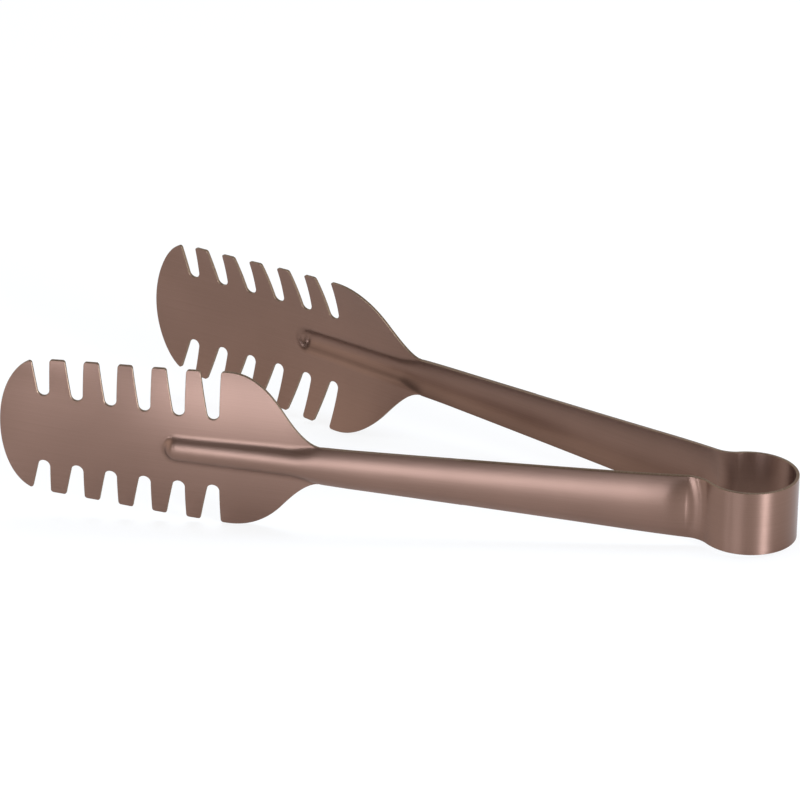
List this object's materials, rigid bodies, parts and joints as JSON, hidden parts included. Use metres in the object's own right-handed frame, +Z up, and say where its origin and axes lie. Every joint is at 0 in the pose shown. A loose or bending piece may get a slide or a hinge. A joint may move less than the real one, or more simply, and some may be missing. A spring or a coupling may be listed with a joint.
{
  "type": "pasta tongs",
  "caption": "Spring tongs from one strip of coated steel: two channel handles joined by a round bow, each ending in a dished head with slots and blunt teeth along both edges.",
  "frame": {"origin": "middle of the bounding box at the level that the tongs rest on", "axes": "+X along the tongs from the heads to the bow, +Y from the front arm to the rear arm, the way the tongs open and close, +Z up"},
  "size_m": [0.2432, 0.1048, 0.0529],
  "materials": {
    "coated_steel": "satin brushed with a copper brown coating"
  },
  "bodies": {
    "bow": {"bow_back": "coated_steel"},
    "front_arm": {"front_spring": "coated_steel", "front_handle": "coated_steel", "front_head": "coated_steel"},
    "rear_arm": {"rear_spring": "coated_steel", "rear_handle": "coated_steel", "rear_head": "coated_steel"}
  },
  "joints": [
    {"name": "front_arm_flex", "type": "hinge", "parent": "bow", "child": "front_arm", "pos_m": [0.10773, -0.01033, 0.01133], "axis": [-0.0898, 0, -0.996], "range_deg": [0, 11.9], "stiffness_Nm_per_rad": 8.6, "deforming": ["front_spring"]},
    {"name": "rear_arm_flex", "type": "hinge", "parent": "bow", "child": "rear_arm", "pos_m": [0.10773, 0.01033, 0.01133], "axis": [0.0898, 0, 0.996], "range_deg": [0, 11.9], "stiffness_Nm_per_rad": 8.6, "deforming": ["rear_spring"]}
  ],
  "couplings": [
    {"joint": "rear_arm_flex", "follows": "front_arm_flex", "ratio": 1}
  ]
}
